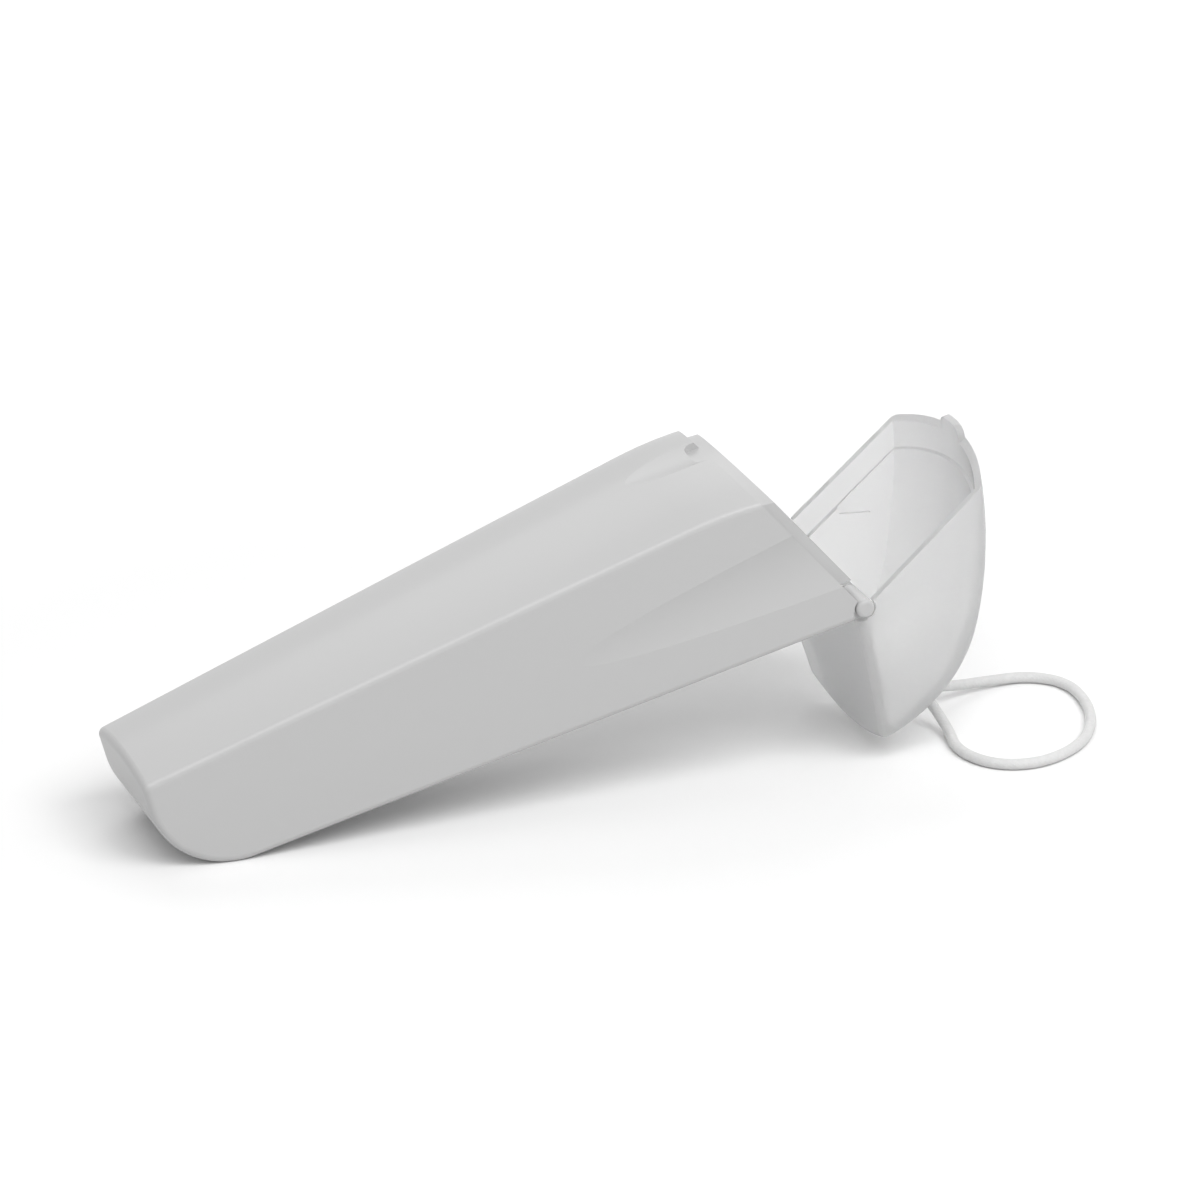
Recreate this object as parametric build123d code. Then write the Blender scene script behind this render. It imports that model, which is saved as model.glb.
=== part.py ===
"""Travel toothbrush case with a hinged lid and a wrist cord, in millimetres.

The closed case is one long form, split at a slanted mouth into a case body and
a lid. It is drawn in its own straight frame: X runs along the flat base toward
the lid, Y across, Z up, and the hinge line lies over the Y axis. The case is
then set as it stands in use: lid opened square, its nose on the ground, and
the narrow end of the case on the ground behind it.
"""
import os
from math import asin, atan, atan2, cos, degrees, hypot, pi, radians, sin, sqrt, tan

from build123d import *

# Closed form
base_length = 159.0
mouth_half_width = 24.2
end_half_width = 16.6
end_height = 27.5
crown_slope = 5.6
crown_start = -32.0
crown_radius = 90.0
crown_turn = 32.5
nose_radius = 37.5
arch_radius = 53.0
side_radius = 95.0
heel_radius = 18.5
edge_radius = 1.6
wall = 2.2

# Mouth, lip and latch
mouth_slant = 26.5
mouth_gap = 0.3
lid_rim = 1.6
lip_thickness = 0.9
lip_root = 3.5
lip_length = 2.2
lip_clearance = 0.3
lip_start = 9.0
recess_depth = 5.4
recess_start = 4.0
tab_half_width = 4.5
tab_length = 2.6
tab_root = 0.6
tab_clearance = 0.35
tab_corner_radius = 2.0

# Grip hollows
side_hollow_length = 56.0
side_hollow_radius = 28.0
side_hollow_depth = 1.2
side_hollow_tip_height = 15.2
side_hollow_mouth_height = 17.4
top_hollow_length = 18.5
top_hollow_radius = 17.0
top_hollow_depth = 1.0

# Raised panels inside the lid
panel_low = 16.2
panel_high = 23.4
panel_step = 0.7
panel_slope = 2.6
panel_thickness = 0.7

# Hinge
hinge_height = 2.4
barrel_radius = 2.1
pin_radius = 0.8
pin_clearance = 0.05
knuckle_gap = 0.3
knuckle_count = 5
barrel_overhang = 0.8
web_overlap = 1.0
pin_inset = 0.3
barrel_end_wall = 1.0

# Standing pose
lid_opening = 90.0

# Wrist cord
cord_diameter = 2.4
cord_hole_angle = 29.0
cord_clearance = 0.3
cord_spacing = 2.9
knot_size = 1.3
knot_seat = 0.2
knot_tail_gap = 0.1
cord_exit = 4.5
cord_ground_points = [
    (97.5, 6.6, 3.6), (107.8, 10.4, 1.7), (118.4, 10.8, 1.25), (125.2, 4.0, 1.25),
    (124.4, -8.0, 1.25), (119.8, -20.0, 1.25), (112.0, -29.2, 1.25), (100.6, -34.2, 1.25),
    (90.8, -31.2, 1.25), (86.6, -21.2, 1.25), (89.6, -10.2, 1.4),
]

# Cutting blocks and side views reach past the case on every side
REACH = base_length / 2


def box_between(x0, x1, y0, y1, z0, z1):
    """A plain block between two corners."""
    block = Box(x1 - x0, y1 - y0, z1 - z0)
    return Pos((x0 + x1) / 2, (y0 + y1) / 2, (z0 + z1) / 2) * block


# The crown line: a straight rise, a gentle arc over the mouth, a tight nose arc
crown_heading = radians(crown_slope)
crown_start_height = end_height + (base_length + crown_start) * tan(crown_heading)
over_x = crown_start + crown_radius * sin(crown_heading)
over_z = crown_start_height - crown_radius * cos(crown_heading)
turn_heading = crown_heading - radians(crown_turn)
turn_x = over_x - crown_radius * sin(turn_heading)
turn_z = over_z + crown_radius * cos(turn_heading)
nose_x = turn_x + nose_radius * sin(turn_heading)
nose_z = turn_z - nose_radius * cos(turn_heading)
nose_reach = nose_x + sqrt(nose_radius**2 - nose_z**2)


def arch_section(top, inset, depth):
    """The arched cross-section as (across, up), with its highest point at top."""
    radius = arch_radius - inset
    half = 0.75 * radius
    shoulder = top - radius + sqrt(radius**2 - half**2)
    arc = ThreePointArc((-half, shoulder), (0, top), (half, shoulder))
    rest = Polyline((half, shoulder), (half, top - depth), (-half, top - depth), (-half, shoulder))
    return make_face([arc, rest])


def crown_wedge(centre_x, centre_z, radius, start, sweep, inset):
    """Part of a ring whose rim is the arched section, swept about a cross axis."""
    top = radius - inset
    section = arch_section(top, inset, min(top, REACH))
    plane = Plane(origin=(0, 0, 0), x_dir=(0, 1, 0), z_dir=(sin(start), 0, -cos(start)))
    ring = revolve(plane * section, Axis((0, 0, 0), (0, -1, 0)), degrees(sweep))
    return Pos(centre_x, 0, centre_z) * ring


def crown_solid(inset):
    """Everything under the arched top, from the narrow end round to the nose."""
    back = base_length + crown_start + 10
    section = arch_section(-inset, inset, REACH)
    plane = Plane(
        origin=(crown_start, 0, crown_start_height),
        x_dir=(0, 1, 0),
        z_dir=(cos(crown_heading), 0, sin(crown_heading)),
    )
    straight = extrude(plane * section, -back)
    over = crown_wedge(over_x, over_z, crown_radius, pi / 2 + turn_heading, radians(crown_turn), inset)
    nose_start = -radians(12)
    nose_sweep = pi / 2 + turn_heading - nose_start
    nose = crown_wedge(nose_x, nose_z, nose_radius, nose_start, nose_sweep, inset)
    return straight + over + nose


def side_outline(inset):
    """The plan of the sides: a straight taper, then an arc in toward the nose."""
    spread = atan((mouth_half_width - end_half_width) / base_length)
    back = -base_length + inset
    half_back = end_half_width + (back + base_length) * tan(spread) - inset / cos(spread)
    half_front = mouth_half_width - inset / cos(spread)
    centre_x = side_radius * sin(spread)
    centre_y = mouth_half_width - side_radius * cos(spread)
    radius = side_radius - inset
    join_x = centre_x - radius * sin(spread)
    join_y = centre_y + radius * cos(spread)
    tip_x = nose_reach + 5
    tip_y = centre_y + sqrt(radius**2 - (tip_x - centre_x) ** 2)
    mid_x = (join_x + tip_x) / 2
    mid_y = centre_y + sqrt(radius**2 - (mid_x - centre_x) ** 2)
    left = ThreePointArc((join_x, join_y), (mid_x, mid_y), (tip_x, tip_y))
    right = ThreePointArc((join_x, -join_y), (mid_x, -mid_y), (tip_x, -tip_y))
    front = Line((tip_x, tip_y), (tip_x, -tip_y))
    rear = Polyline((join_x, join_y), (back, half_back), (back, -half_back), (join_x, -join_y))
    return make_face([left, front, right, rear])


def heel_outline(inset):
    """The side view of the base: flat, then a large round up to the narrow end."""
    back = -base_length + inset
    radius = heel_radius - inset
    front = nose_reach + 10
    side = Polyline(
        (back, REACH), (back, inset), (front, inset), (front, REACH), (back, REACH)
    )
    face = make_face([side])
    corner = face.vertices().sort_by_distance((back, inset, 0))[0]
    return fillet(corner, radius)


def closed_form(inset):
    """The closed case's outside, or the same form moved inward by inset."""
    plan = extrude(side_outline(inset), REACH)
    side = extrude(Plane.XZ * heel_outline(inset), REACH, both=True)
    return crown_solid(inset) & plan & side


def mouth_block(shift, front):
    """All that lies in front of the mouth plane moved by shift, or behind it."""
    slant = radians(mouth_slant)
    plane = Plane(
        origin=(shift * cos(slant), 0, hinge_height + shift * sin(slant)),
        x_dir=(0, 1, 0),
        z_dir=(cos(slant), 0, sin(slant)),
    )
    reach = 4 * REACH
    return extrude(plane * Rectangle(reach, reach), reach if front else -reach)


def sharp_edges(solid, least=8):
    """The edges where two faces meet at an angle, leaving out smooth joins."""
    owners = {}
    for face in solid.faces():
        for edge in face.edges():
            middle = edge @ 0.5
            place = (round(middle.X, 3), round(middle.Y, 3), round(middle.Z, 3))
            owners.setdefault(place, []).append((face, edge))
    sharp = []
    for pairs in owners.values():
        middle = pairs[0][1] @ 0.5
        turns = [face.normal_at(middle) for face, edge in pairs]
        if len(turns) == 2 and turns[0].get_angle(turns[1]) > least:
            sharp.append(pairs[0][1])
    return sharp


def rounded_form():
    """The closed case's outside with its long edges, heel and nose softened."""
    form = closed_form(0)
    return fillet(sharp_edges(form), edge_radius)


def crown_height(x):
    """Height of the crown line over the base at x, up to the start of the nose arc."""
    if x < crown_start:
        return crown_start_height + (x - crown_start) * tan(crown_heading)
    return over_z + sqrt(crown_radius**2 - (x - over_x) ** 2)


def mouth_x(height):
    """Where the mouth plane stands at a height over the base."""
    return -(height - hinge_height) * tan(radians(mouth_slant))


def side_half_width(x):
    """Half the width of the case at x, behind the hinge."""
    return mouth_half_width + x * (mouth_half_width - end_half_width) / base_length


# Values that the lip, the tab and the hinge share
recess_inset = lid_rim
lip_inset = lid_rim + lip_clearance
crown_mouth_x = mouth_x(crown_height(mouth_x(end_height + 10)))
clear_radius = barrel_radius + knuckle_gap
barrel_length = 2 * (mouth_half_width + barrel_overhang)
knuckle_length = (barrel_length - (knuckle_count - 1) * knuckle_gap) / knuckle_count
hinge_axis = Pos(0, 0, hinge_height)
bore_start = -barrel_length / 2 + barrel_end_wall


def hollow_cutter(tip, mouth, outward, radius):
    """A tilted cylinder that dips below a face from its tip to the mouth."""
    run = Vector(*mouth) - Vector(*tip)
    along = run.normalized()
    side = Vector(*outward)
    side = (side - along * side.dot(along)).normalized()
    start = Vector(*tip) + side * radius - along * radius
    plane = Plane(origin=start, z_dir=along)
    return extrude(plane * Circle(radius), run.length + 3 * radius)


def side_hollow(sign):
    """The finger hollow in one side of the case, open at the mouth."""
    mouth_at = mouth_x(side_hollow_mouth_height)
    tip_at = mouth_at - side_hollow_length
    tip = (tip_at, sign * side_half_width(tip_at), side_hollow_tip_height)
    depth_y = sign * (side_half_width(mouth_at) - side_hollow_depth)
    mouth = (mouth_at, depth_y, side_hollow_mouth_height)
    return hollow_cutter(tip, mouth, (0, sign, 0), side_hollow_radius)


def top_hollow():
    """The thumb hollow in the crown, behind the lid's tab."""
    tip_at = crown_mouth_x - top_hollow_length
    tip = (tip_at, 0, crown_height(tip_at))
    mouth = (crown_mouth_x, 0, crown_height(crown_mouth_x) - top_hollow_depth)
    return hollow_cutter(tip, mouth, (0, 0, 1), top_hollow_radius)


def tab_form(clearance):
    """The lid's thumb tab, or the notch for it where clearance is more than 0."""
    back = crown_mouth_x - tab_length - clearance
    front = crown_mouth_x + 4
    half = tab_half_width + clearance
    plan = Pos((back + front) / 2, 0) * Rectangle(front - back, 2 * half)
    rear = [v for v in plan.vertices() if v.X < crown_mouth_x - tab_length / 2]
    plan = fillet(rear, tab_corner_radius)
    column = Pos(0, 0, end_height - 5) * extrude(plan, REACH)
    return column - closed_form(recess_inset + 0.4 * clearance)


def pin_space(radius, start, end):
    """A round bar on the hinge line, from one place across the case to another."""
    return Pos(0, (start + end) / 2, hinge_height) * Cylinder(radius, end - start, rotation=(90, 0, 0))


def knuckles(owned, web_side):
    """The barrel knuckles that one half owns, each with its web to the base wall."""
    first = -barrel_length / 2 + knuckle_length / 2
    step = knuckle_length + knuckle_gap
    web_length = hinge_height + knuckle_gap + web_overlap
    web_low = hinge_height - barrel_radius
    parts = []
    for index in owned:
        centre = first + index * step
        barrel = Cylinder(barrel_radius, knuckle_length, rotation=(90, 0, 0))
        if index == 0 or index == knuckle_count - 1:
            end = -1 if index == 0 else 1
            rim = [e for e in barrel.edges() if (e @ 0).Y * end > knuckle_length / 2 - 0.01]
            rim = [e for e in rim if e.length > barrel_radius]
            barrel = fillet(rim, 0.4 * barrel_radius)
        parts.append(Pos(0, centre, hinge_height) * barrel)
        inner = min(abs(centre) + knuckle_length / 2, mouth_half_width - wall / 2)
        outer = abs(centre) - knuckle_length / 2
        half_web = (inner - outer) / 2
        web_y = (inner + outer) / 2 * (1 if centre > 0 else -1)
        if abs(centre) < 0.01:
            half_web = knuckle_length / 2
            web_y = 0
        web = Box(web_length, 2 * half_web, wall - web_low)
        parts.append(Pos(web_side * web_length / 2, web_y, (wall + web_low) / 2) * web)
    bore = pin_space(pin_radius + pin_clearance, bore_start, REACH)
    return [part - bore for part in parts]


def hinge_clearance():
    """The space along the barrel that both shells keep clear of as the lid turns."""
    around = hinge_axis * Cylinder(clear_radius, 2 * REACH, rotation=(90, 0, 0))
    reach = hinge_height + knuckle_gap
    return around + box_between(-reach, reach, -REACH, REACH, -1, hinge_height)


def case_body():
    """The long shell: arched top, flat base, hollows, inner lip and three knuckles."""
    shell = rounded_form() & mouth_block(-mouth_gap / 2, front=False)
    shell = shell - side_hollow(1) - side_hollow(-1) - top_hollow()
    shell = shell - closed_form(wall) - hinge_clearance() - tab_form(tab_clearance)
    lip = closed_form(lip_inset) - closed_form(lip_inset + lip_thickness)
    lip = lip & mouth_block(-lip_root, front=True) & mouth_block(lip_length, front=False)
    lip = lip & box_between(-REACH, REACH, -REACH, REACH, lip_start, REACH)
    body = shell + lip
    for knuckle in knuckles(range(0, knuckle_count, 2), -1):
        body = body + knuckle
    return body


def lid_panel():
    """The side view of the lid's thicker part, below a stepped ledge."""
    ledge = Polyline(
        (-REACH, -REACH), (-REACH, panel_low), (panel_step, panel_low),
        (panel_step + panel_slope, panel_high), (REACH, panel_high), (REACH, -REACH),
        (-REACH, -REACH),
    )
    return extrude(Plane.XZ * make_face([ledge]), REACH, both=True)


def cord_hole():
    """The slot through the nose for both runs of the cord."""
    angle = radians(cord_hole_angle)
    width = cord_spacing + cord_diameter + 2 * cord_clearance
    height = cord_diameter + 2 * cord_clearance
    out = (cos(angle), 0, sin(angle))
    plane = Plane(origin=(nose_x, 0, nose_z), x_dir=(0, 1, 0), z_dir=out)
    return extrude(plane * SlotOverall(width, height), 2 * nose_radius) - (
        extrude(plane * Rectangle(REACH, REACH), nose_radius - wall - 4)
    )


def lid():
    """The short shell: rounded nose, mouth recess, tab, panels and two knuckles."""
    tab = tab_form(0) & mouth_block(tab_root, front=False)
    shell = rounded_form() & (mouth_block(mouth_gap / 2, front=True) + tab)
    cavity = closed_form(wall) - lid_panel() + closed_form(wall + panel_thickness)
    recess = closed_form(recess_inset) & mouth_block(recess_depth, front=False)
    recess = recess & box_between(-REACH, REACH, -REACH, REACH, recess_start, REACH)
    shell = shell - cavity - recess - hinge_clearance() - cord_hole()
    for knuckle in knuckles(range(1, knuckle_count, 2), 1):
        shell = shell + knuckle
    return shell


def hinge_pin():
    """The straight pin, slid in from the open end of the bore to its closed end."""
    pin = pin_space(pin_radius, bore_start + pin_clearance, barrel_length / 2 - pin_inset)
    return chamfer(pin.edges().filter_by(GeomType.CIRCLE), 0.2 * pin_radius)


# Standing pose: the ground line touches the heel and the nose of the opened lid
heel_x = -base_length + heel_radius
opening = radians(lid_opening)
open_x = nose_x * cos(opening) + (nose_z - hinge_height) * sin(opening)
open_z = hinge_height - nose_x * sin(opening) + (nose_z - hinge_height) * cos(opening)
span = hypot(open_x - heel_x, open_z - heel_radius)
lean = atan2(open_z - heel_radius, open_x - heel_x)
pitch = asin((nose_radius - heel_radius) / span) - lean
lift = heel_radius - heel_x * sin(pitch) - heel_radius * cos(pitch)


standing = Pos(0, 0, lift) * Rot(0, -degrees(pitch), 0)
lid_open = standing * hinge_axis * Rot(0, lid_opening, 0) * Pos(0, 0, -hinge_height)


def hole_point(depth, across=0):
    """A point on the cord hole's axis, depth inward from the lid's outside."""
    angle = radians(cord_hole_angle)
    reach = nose_radius - depth
    place = Pos(nose_x + reach * cos(angle), across, nose_z + reach * sin(angle))
    return (lid_open * place).position


def cord_knot():
    """The knot that holds both runs inside the nose: a three-lobed overhand."""
    points = []
    for index in range(25):
        t = pi + knot_tail_gap + 2 * (pi - knot_tail_gap) * index / 24
        x = sin(t) + 2 * sin(2 * t)
        y = cos(t) - 2 * cos(2 * t)
        points.append(Vector(x, y, -sin(3 * t)) * knot_size)
    path = Spline(*points)
    start = Plane(origin=path @ 0, z_dir=path % 0)
    tube = sweep(start * Circle(cord_diameter / 2), path)
    angle = radians(cord_hole_angle)
    reach = nose_radius - wall - panel_thickness - knot_seat - knot_size - cord_diameter / 2
    spot = Pos(nose_x + reach * cos(angle), 0, nose_z + reach * sin(angle))
    return spot * Rot(0, 90 - cord_hole_angle, 0) * tube


def wrist_cord(middle):
    """The loop on the ground, both ends running through the nose into the knot."""
    inside = wall + panel_thickness + knot_seat + knot_size
    far, near = cord_spacing / 2, -cord_spacing / 2
    ends = []
    for depth, across in ((inside, far), (-cord_exit, far), (-cord_exit, near), (inside, near)):
        spot = hole_point(depth, across)
        ends.append((spot.X - middle, spot.Y, spot.Z))
    points = ends[:2] + cord_ground_points + ends[2:]
    vectors = [Vector(*point) for point in points]
    runs = [b - a for a, b in zip(vectors, vectors[1:])]
    radii = []
    for before, after in zip(runs, runs[1:]):
        turn = radians(before.get_angle(after))
        radii.append(0.45 * min(before.length, after.length) / tan(turn / 2))
        print("turn", round(degrees(turn)), "radius", round(radii[-1], 1))
    path = FilletPolyline(*points, radius=radii)
    start = Plane(origin=path @ 0, z_dir=path % 0)
    tube = sweep(start * Circle(cord_diameter / 2), path)
    due = pi * cord_diameter**2 / 4 * path.length
    print("cord length", round(path.length, 1), "volume", round(tube.volume, 1), "due", round(due, 1))
    print("cord points", [tuple(round(c, 2) for c in point) for point in points])
    return tube


def main():
    os.makedirs("parts", exist_ok=True)
    pieces = {
        "case_body": standing * case_body(),
        "lid": lid_open * lid(),
        "hinge_pin": standing * hinge_pin(),
        "cord_knot": lid_open * cord_knot(),
    }
    boxes = [pieces[name].bounding_box() for name in ("case_body", "lid", "hinge_pin")]
    middle = (min(box.min.X for box in boxes) + max(box.max.X for box in boxes)) / 2
    axis = (standing * hinge_axis).position
    print("pitch", round(degrees(pitch), 3), "hinge axis", round(axis.X - middle, 4), round(axis.Z, 4))
    pieces["wrist_cord"] = Pos(middle, 0, 0) * wrist_cord(middle)
    for name, piece in pieces.items():
        placed = Pos(-middle, 0, 0) * piece
        print(name, "solids", len(placed.solids()), "valid", placed.is_valid, "volume", round(placed.volume))
        export_step(placed, f"parts/{name}.step")


main()
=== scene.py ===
"""Travel toothbrush case, propped on its open lid, with its wrist cord.

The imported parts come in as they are. This script gives them their plastics,
weaves the cord along its route, and sets the floor, the light and the camera.
"""
from math import cos, floor, pi, radians, sin

import bpy
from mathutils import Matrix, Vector


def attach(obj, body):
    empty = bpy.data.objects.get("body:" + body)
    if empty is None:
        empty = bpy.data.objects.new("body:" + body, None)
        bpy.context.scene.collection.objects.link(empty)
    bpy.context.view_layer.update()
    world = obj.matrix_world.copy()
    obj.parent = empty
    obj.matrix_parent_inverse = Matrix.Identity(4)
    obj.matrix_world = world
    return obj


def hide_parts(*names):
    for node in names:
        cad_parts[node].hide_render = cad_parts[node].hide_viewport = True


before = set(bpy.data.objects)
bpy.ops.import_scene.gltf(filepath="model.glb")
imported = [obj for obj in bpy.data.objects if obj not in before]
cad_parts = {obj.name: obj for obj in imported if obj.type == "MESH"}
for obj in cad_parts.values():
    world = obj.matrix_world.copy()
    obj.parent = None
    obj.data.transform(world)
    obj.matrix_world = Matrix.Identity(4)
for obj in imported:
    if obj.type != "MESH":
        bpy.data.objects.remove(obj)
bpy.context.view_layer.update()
MM = 0.001

# Camera, in degrees and metres, as worked out from the case's own outline
camera_azimuth = -20.68
camera_elevation = 22.87
camera_distance = 1.3364
camera_lens = 187.4
camera_subject = Vector((-0.0014, 0.0, 0.030))
camera_aim_right = 0.0122
camera_aim_up = 0.0107

# Cord, in millimetres as in the part
cord_diameter = 2.4
cord_route = [
    (81.12, 1.45, 13.7), (87.31, 1.45, 7.3), (97.5, 6.6, 3.6), (107.8, 10.4, 1.7),
    (118.4, 10.8, 1.25), (125.2, 4.0, 1.25), (124.4, -8.0, 1.25), (119.8, -20.0, 1.25),
    (112.0, -29.2, 1.25), (100.6, -34.2, 1.25), (90.8, -31.2, 1.25), (86.6, -21.2, 1.25),
    (89.6, -10.2, 1.4), (87.31, -1.45, 7.3), (81.12, -1.45, 13.7),
]
braid_strands = 8
braid_pitch = 9.0
braid_relief = 0.11
braid_sides = 48
braid_step = 0.22

# Floor and light, in metres and watts, with tones where 1 is white
floor_half_width = 3.0
floor_tone = 0.78
near_white = 1.02
far_white = 1.3
near_distance = 0.15
far_distance = 0.5
world_light = 0.4
softbox_width = 1.0
softbox_target = Vector((0.0, 0.0, 0.03))
softboxes = {
    "left_softbox": (Vector((-0.4, -1.0, 1.5)), 10.0),
    "right_softbox": (Vector((0.5, -1.1, 1.5)), 13.0),
    "rear_softbox": (Vector((0.2, 1.0, 1.1)), 4.0),
    "side_softbox": (Vector((1.3, -0.2, 1.0)), 1.5),
}


# Node helpers
def grey(tone):
    """A neutral colour of this tone, with full alpha."""
    return (tone, tone, tone, 1.0)


def feed(tree, value, socket):
    """Links an output to a socket, or sets the socket to a plain value."""
    if isinstance(value, bpy.types.NodeSocket):
        tree.links.new(value, socket)
    else:
        socket.default_value = value


def socket_in(group, name, kind, value=None):
    """Adds an input to a node group, with the value it has where nothing is set."""
    socket = group.interface.new_socket(name=name, in_out="INPUT", socket_type=kind)
    if value is not None:
        socket.default_value = value


def socket_out(group, name, kind):
    """Adds an output to a node group."""
    group.interface.new_socket(name=name, in_out="OUTPUT", socket_type=kind)


def new_group(name):
    """An empty shader node group with its two end nodes."""
    group = bpy.data.node_groups.new(name, "ShaderNodeTree")
    start = group.nodes.new("NodeGroupInput")
    end = group.nodes.new("NodeGroupOutput")
    return group, start, end


def math_node(tree, operation, first, second, clamp=False):
    """A Math node fed by outputs or plain numbers; gives back its output."""
    node = tree.nodes.new("ShaderNodeMath")
    node.operation = operation
    node.use_clamp = clamp
    feed(tree, first, node.inputs[0])
    feed(tree, second, node.inputs[1])
    return node.outputs[0]


def noise_node(tree, place, scale, detail, roughness=0.5):
    """Noise over a place in the object; gives back its value from 0 to 1."""
    node = tree.nodes.new("ShaderNodeTexNoise")
    tree.links.new(place, node.inputs["Vector"])
    node.inputs["Scale"].default_value = scale
    node.inputs["Detail"].default_value = detail
    node.inputs["Roughness"].default_value = roughness
    return node.outputs["Fac"]


def stretched_place(tree, place, along, across):
    """The place scaled less along the case than across it, to draw noise into streaks."""
    node = tree.nodes.new("ShaderNodeVectorMath")
    node.operation = "MULTIPLY"
    tree.links.new(place, node.inputs[0])
    node.inputs[1].default_value = (along, across, across)
    return node.outputs[0]


def share_between(tree, value, low, high):
    """How far a value has come from low to high, held between 0 and 1."""
    node = tree.nodes.new("ShaderNodeMapRange")
    node.inputs["From Min"].default_value = low
    node.inputs["From Max"].default_value = high
    tree.links.new(value, node.inputs["Value"])
    return node.outputs[0]


def mixed_colour(tree, share, first, second):
    """Two colours mixed by a share from 0 to 1."""
    node = tree.nodes.new("ShaderNodeMix")
    node.data_type = "RGBA"
    tree.links.new(share, node.inputs["Factor"])
    first_socket, second_socket = [socket for socket in node.inputs if socket.type == "RGBA"]
    feed(tree, first, first_socket)
    feed(tree, second, second_socket)
    return [socket for socket in node.outputs if socket.type == "RGBA"][0]


def bumped_normal(tree, height, strength, distance):
    """The surface's normal, bent by a height."""
    node = tree.nodes.new("ShaderNodeBump")
    node.inputs["Strength"].default_value = strength
    node.inputs["Distance"].default_value = distance
    tree.links.new(height, node.inputs["Height"])
    return node.outputs["Normal"]


def seen_ray(tree):
    """1 for the eye's rays, also those off a shiny piece or through a clear one."""
    path = tree.nodes.new("ShaderNodeLightPath")
    seen = math_node(tree, "MAXIMUM", path.outputs["Is Camera Ray"], path.outputs["Is Glossy Ray"])
    return math_node(tree, "MAXIMUM", seen, path.outputs["Is Transmission Ray"])


# Shared effects
def moulding_flow_group():
    """Slow drifts of tone in moulded plastic, as the melt filled the mould."""
    group, start, end = new_group("moulding_flow")
    socket_in(group, "Place", "NodeSocketVector")
    socket_in(group, "Colour", "NodeSocketColor", grey(0.8))
    socket_in(group, "Drift", "NodeSocketFloat", 0.5)
    socket_out(group, "Colour", "NodeSocketColor")
    drawn = stretched_place(group, start.outputs["Place"], along=9.0, across=26.0)
    slow = noise_node(group, drawn, scale=1.0, detail=3.0)
    share = math_node(group, "MULTIPLY", slow, start.outputs["Drift"], clamp=True)
    deeper = group.nodes.new("ShaderNodeHueSaturation")
    deeper.inputs["Saturation"].default_value = 1.25
    deeper.inputs["Value"].default_value = 0.965
    group.links.new(start.outputs["Colour"], deeper.inputs["Color"])
    colour = mixed_colour(group, share, start.outputs["Colour"], deeper.outputs[0])
    group.links.new(colour, end.inputs["Colour"])
    return group


def mould_polish_group():
    """The polish of the mould left on the plastic: fine ripple and a dull haze."""
    group, start, end = new_group("mould_polish")
    socket_in(group, "Place", "NodeSocketVector")
    socket_in(group, "Base Roughness", "NodeSocketFloat", 0.3)
    socket_in(group, "Haze", "NodeSocketFloat", 0.12)
    socket_out(group, "Height", "NodeSocketFloat")
    socket_out(group, "Roughness", "NodeSocketFloat")
    ripple = noise_node(group, start.outputs["Place"], scale=420.0, detail=2.0)
    group.links.new(ripple, end.inputs["Height"])
    cloud = noise_node(group, start.outputs["Place"], scale=38.0, detail=4.0, roughness=0.6)
    haze = math_node(group, "MULTIPLY", cloud, start.outputs["Haze"])
    rough = math_node(group, "ADD", start.outputs["Base Roughness"], haze, clamp=True)
    group.links.new(rough, end.inputs["Roughness"])
    return group


def handling_scuffs_group():
    """Hairline scuffs that run along the case, in patches, as a mask from 0 to 1."""
    group, start, end = new_group("handling_scuffs")
    socket_in(group, "Place", "NodeSocketVector")
    socket_in(group, "Amount", "NodeSocketFloat", 0.5)
    socket_out(group, "Mask", "NodeSocketFloat")
    drawn = stretched_place(group, start.outputs["Place"], along=45.0, across=1500.0)
    hairlines = share_between(group, noise_node(group, drawn, scale=1.0, detail=1.0), 0.66, 0.74)
    cloud = noise_node(group, start.outputs["Place"], scale=55.0, detail=2.0)
    patches = share_between(group, cloud, 0.5, 0.7)
    scuffs = math_node(group, "MULTIPLY", hairlines, patches)
    mask = math_node(group, "MULTIPLY", scuffs, start.outputs["Amount"], clamp=True)
    group.links.new(mask, end.inputs["Mask"])
    return group


flow_group = moulding_flow_group()
polish_group = mould_polish_group()
scuffs_group = handling_scuffs_group()


def placed_group(tree, group, place, **values):
    """A shared effect in a material, with its place and its own values."""
    node = tree.nodes.new("ShaderNodeGroup")
    node.node_tree = group
    tree.links.new(place, node.inputs["Place"])
    for name, value in values.items():
        node.inputs[name.replace("_", " ")].default_value = value
    return node


# Materials
def new_material(name):
    """A material with its Principled shader and the object's own coordinates."""
    material = bpy.data.materials.new(name)
    material.use_nodes = True
    tree = material.node_tree
    shader = tree.nodes["Principled BSDF"]
    place = tree.nodes.new("ShaderNodeTexCoord").outputs["Object"]
    return material, tree, shader, place


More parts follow.
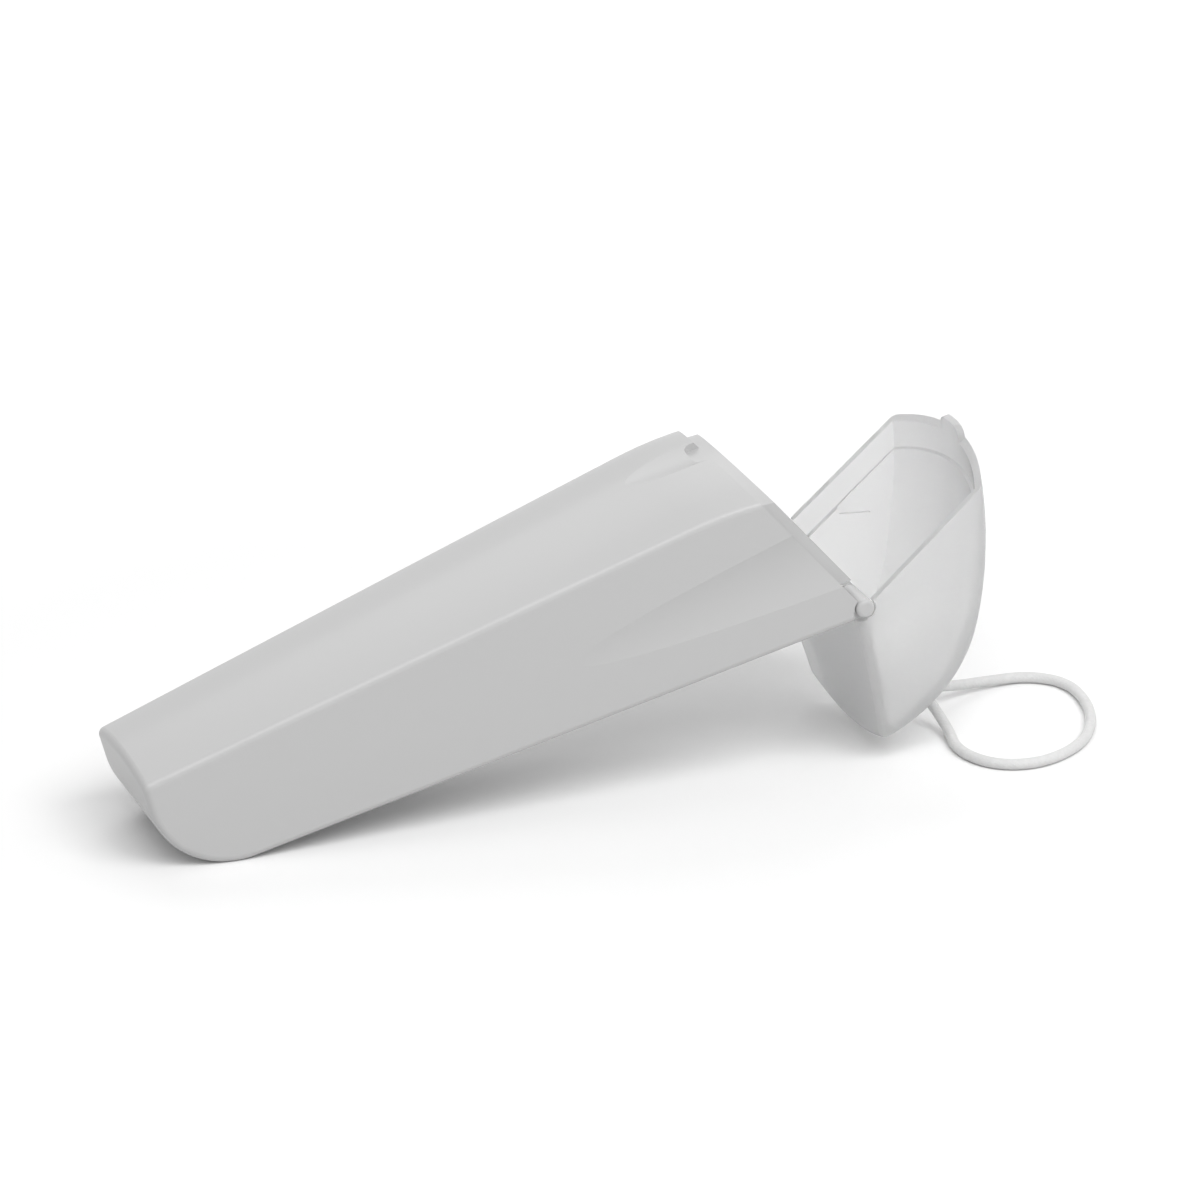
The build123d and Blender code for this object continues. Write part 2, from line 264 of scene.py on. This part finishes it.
def moulded_plastic(name, tone, roughness, haze, drift, scuffs, ripple, coat, glow=0.0, clearness=0.0):
    """Moulded gloss plastic, cloudy inside by its glow and see-through by its clearness."""
    material, tree, shader, place = new_material(name)
    flow = placed_group(tree, flow_group, place, Colour=grey(tone), Drift=drift)
    polish = placed_group(tree, polish_group, place, Base_Roughness=roughness, Haze=haze)
    marks = placed_group(tree, scuffs_group, place, Amount=scuffs)
    rough = math_node(tree, "ADD", polish.outputs["Roughness"], marks.outputs["Mask"], clamp=True)
    normal = bumped_normal(tree, polish.outputs["Height"], ripple, distance=0.00006)
    tree.links.new(flow.outputs["Colour"], shader.inputs["Base Color"])
    tree.links.new(rough, shader.inputs["Roughness"])
    tree.links.new(normal, shader.inputs["Normal"])
    shader.inputs["IOR"].default_value = 1.49
    shader.inputs["Coat Weight"].default_value = coat
    shader.inputs["Coat Roughness"].default_value = 0.16
    shader.inputs["Subsurface Weight"].default_value = glow
    shader.inputs["Subsurface Radius"].default_value = (1.0, 1.0, 1.0)
    shader.inputs["Subsurface Scale"].default_value = 0.008
    shader.inputs["Transmission Weight"].default_value = clearness
    return material


def woven_cord(name, colour, shadow):
    """Satin yarn: pale threads flecked with darker ones, a fine fuzz and a soft sheen."""
    material, tree, shader, place = new_material(name)
    threads = noise_node(tree, place, scale=700.0, detail=3.0, roughness=0.7)
    fuzz = noise_node(tree, place, scale=2600.0, detail=2.0)
    mix = mixed_colour(tree, threads, (*colour, 1.0), (*shadow, 1.0))
    normal = bumped_normal(tree, fuzz, strength=0.5, distance=0.00012)
    tree.links.new(mix, shader.inputs["Base Color"])
    tree.links.new(normal, shader.inputs["Normal"])
    shader.inputs["Roughness"].default_value = 0.55
    shader.inputs["Sheen Weight"].default_value = 0.3
    shader.inputs["Sheen Roughness"].default_value = 0.4
    return material


# The case and the lid are one white plastic. The case's tone is set grey, well below the lid's, as a
# painted shade that keeps the case darker than the lid.
case_plastic = moulded_plastic(
    "case_plastic", tone=0.555, roughness=0.36, haze=0.1,
    drift=0.5, scuffs=0.12, ripple=0.25, coat=0.12,
)
lid_plastic = moulded_plastic(
    "lid_plastic", tone=0.98, roughness=0.42, haze=0.1,
    drift=0.45, scuffs=0.1, ripple=0.25, coat=0.12, glow=0.9, clearness=0.65,
)
pin_plastic = moulded_plastic(
    "pin_plastic", tone=0.90, roughness=0.18, haze=0.06,
    drift=0.2, scuffs=0.05, ripple=0.15, coat=0.4,
)
cord_yarn = woven_cord("cord_yarn", colour=(0.82, 0.82, 0.815), shadow=(0.66, 0.66, 0.66))

finishes = {
    "case_body": case_plastic,
    "lid": lid_plastic,
    "hinge_pin": pin_plastic,
    "cord_knot": cord_yarn,
    "wrist_cord": cord_yarn,
}
for node_name, finish in finishes.items():
    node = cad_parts[node_name]
    node.data.materials.clear()
    node.data.materials.append(finish)


# Objects
def placed_object(name, data):
    """A new object with this mesh, lamp or camera, put in the scene."""
    thing = bpy.data.objects.new(name, data)
    bpy.context.collection.objects.link(thing)
    return thing


def aim(thing, position, target):
    """Puts a lamp or the camera at a place, facing a point."""
    thing.location = position
    thing.rotation_euler = (target - position).to_track_quat("-Z", "Y").to_euler()


# Wrist cord
def cord_centreline():
    """Points along the cord's smooth line, from its route's NURBS spline."""
    line = bpy.data.curves.new("cord_route", "CURVE")
    line.dimensions = "3D"
    spline = line.splines.new("NURBS")
    spline.points.add(len(cord_route) - 1)
    for point, (x, y, z) in zip(spline.points, cord_route):
        point.co = (x * MM, y * MM, z * MM, 1.0)
    spline.order_u = 3
    spline.use_endpoint_u = True
    spline.resolution_u = 24
    holder = bpy.data.objects.new("cord_route", line)
    mesh = bpy.data.meshes.new_from_object(holder)
    points = [vertex.co.copy() for vertex in mesh.vertices]
    bpy.data.objects.remove(holder)
    bpy.data.curves.remove(line)
    bpy.data.meshes.remove(mesh)
    return points


def even_points(points, step):
    """Points the same distance apart along a line, with how far along each is."""
    lengths = [0.0]
    for before, after in zip(points, points[1:]):
        lengths.append(lengths[-1] + (after - before).length)
    count = int(floor(lengths[-1] / step))
    found = []
    index = 0
    for number in range(count + 1):
        target = lengths[-1] * number / count
        while index < len(points) - 2 and lengths[index + 1] < target:
            index += 1
        share = (target - lengths[index]) / (lengths[index + 1] - lengths[index])
        found.append((points[index].lerp(points[index + 1], share), target))
    return found


def braid_radius(angle, turn):
    """The cord's radius at an angle round it, less where no strand lies on top."""
    right = abs(cos(braid_strands / 2 * (angle + turn)))
    left = abs(cos(braid_strands / 2 * (angle - turn)))
    relief = braid_relief * (1 - max(right, left))
    return (cord_diameter / 2 - relief) * MM


def braid_vertices(stations):
    """A ring of points round each station of the cord's line."""
    vertices = []
    across = Vector((0.0, 1.0, 0.0))
    for number, (centre, along) in enumerate(stations):
        behind = stations[max(number - 1, 0)][0]
        ahead = stations[min(number + 1, len(stations) - 1)][0]
        heading = (ahead - behind).normalized()
        across = (across - heading * across.dot(heading)).normalized()
        upward = heading.cross(across)
        turn = 2 * pi * along / (braid_pitch * MM)
        for side in range(braid_sides):
            angle = 2 * pi * side / braid_sides
            outward = across * cos(angle) + upward * sin(angle)
            vertices.append(centre + outward * braid_radius(angle, turn))
    return vertices


def braid_faces(rings):
    """Four-sided faces from each ring of points to the next, then the two end caps."""
    faces = []
    for ring in range(rings - 1):
        low = ring * braid_sides
        high = low + braid_sides
        for side in range(braid_sides):
            step = (side + 1) % braid_sides
            faces.append((low + side, low + step, high + step, high + side))
    last = (rings - 1) * braid_sides
    faces.append(tuple(range(braid_sides - 1, -1, -1)))
    faces.append(tuple(range(last, last + braid_sides)))
    return faces


def braided_tube(name, points):
    """A round braid along a line: strands that cross over and under each other."""
    stations = even_points(points, braid_step * MM)
    mesh = bpy.data.meshes.new(name)
    mesh.from_pydata(braid_vertices(stations), [], braid_faces(len(stations)))
    mesh.update()
    for polygon in mesh.polygons[:-2]:
        polygon.use_smooth = True
    return placed_object(name, mesh)


cord_line = cord_centreline()
cord = braided_tube("wrist_cord_braid", cord_line)
cord.data.materials.append(cord_yarn)
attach(cord, "lid")
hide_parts("wrist_cord")


# Floor and light
def floor_paint():
    """Paint that takes the case's shadow, and that the eye sees as white out to its edge."""
    material = bpy.data.materials.new("floor_paint")
    material.use_nodes = True
    tree = material.node_tree
    tree.nodes.clear()
    away = tree.nodes.new("ShaderNodeVectorMath")
    away.operation = "LENGTH"
    tree.links.new(tree.nodes.new("ShaderNodeTexCoord").outputs["Object"], away.inputs[0])
    outward = share_between(tree, away.outputs["Value"], near_distance, far_distance)
    white = mixed_colour(tree, outward, grey(near_white), grey(far_white))
    colour = mixed_colour(tree, seen_ray(tree), grey(floor_tone), white)
    paint = tree.nodes.new("ShaderNodeBsdfDiffuse")
    tree.links.new(colour, paint.inputs["Color"])
    out = tree.nodes.new("ShaderNodeOutputMaterial")
    tree.links.new(paint.outputs[0], out.inputs["Surface"])
    return material


def pale_floor():
    """A wide flat floor under the case."""
    half = floor_half_width
    mesh = bpy.data.meshes.new("floor")
    corners = [(-half, -half, 0), (half, -half, 0), (half, half, 0), (-half, half, 0)]
    mesh.from_pydata(corners, [], [(0, 1, 2, 3)])
    mesh.materials.append(floor_paint())
    return placed_object("floor", mesh)


def studio_world():
    """White to the eye and in reflections; softer where it lights the case."""
    world = bpy.data.worlds.new("studio")
    world.use_nodes = True
    bpy.context.scene.world = world
    tree = world.node_tree
    tree.nodes.clear()
    strength = math_node(tree, "MULTIPLY", seen_ray(tree), 1.0 - world_light)
    strength = math_node(tree, "ADD", strength, world_light)
    sky = tree.nodes.new("ShaderNodeBackground")
    sky.inputs["Color"].default_value = grey(1.0)
    tree.links.new(strength, sky.inputs["Strength"])
    out = tree.nodes.new("ShaderNodeOutputWorld")
    tree.links.new(sky.outputs[0], out.inputs["Surface"])


def softbox(name, position, power):
    """A square area lamp that faces the case."""
    lamp = bpy.data.lights.new(name, "AREA")
    lamp.shape = "SQUARE"
    lamp.size = softbox_width
    lamp.energy = power
    aim(placed_object(name, lamp), position, softbox_target)


def set_camera():
    """The camera at the photograph's angle, aimed so the case sits where it did."""
    azimuth = radians(camera_azimuth)
    elevation = radians(camera_elevation)
    back = Vector((sin(azimuth) * cos(elevation), -cos(azimuth) * cos(elevation), sin(elevation)))
    right = Vector((cos(azimuth), sin(azimuth), 0.0))
    up = back.cross(right)
    data = bpy.data.cameras.new("camera")
    data.lens = camera_lens
    data.sensor_width = 36.0
    data.clip_start = 0.05
    data.clip_end = 20.0
    camera = placed_object("camera", data)
    target = camera_subject + right * camera_aim_right + up * camera_aim_up
    aim(camera, camera_subject + back * camera_distance, target)
    bpy.context.scene.camera = camera


pale_floor()
studio_world()
for lamp_name, (lamp_position, lamp_power) in softboxes.items():
    softbox(lamp_name, lamp_position, lamp_power)
set_camera()
bpy.context.scene.view_settings.view_transform = "Standard"
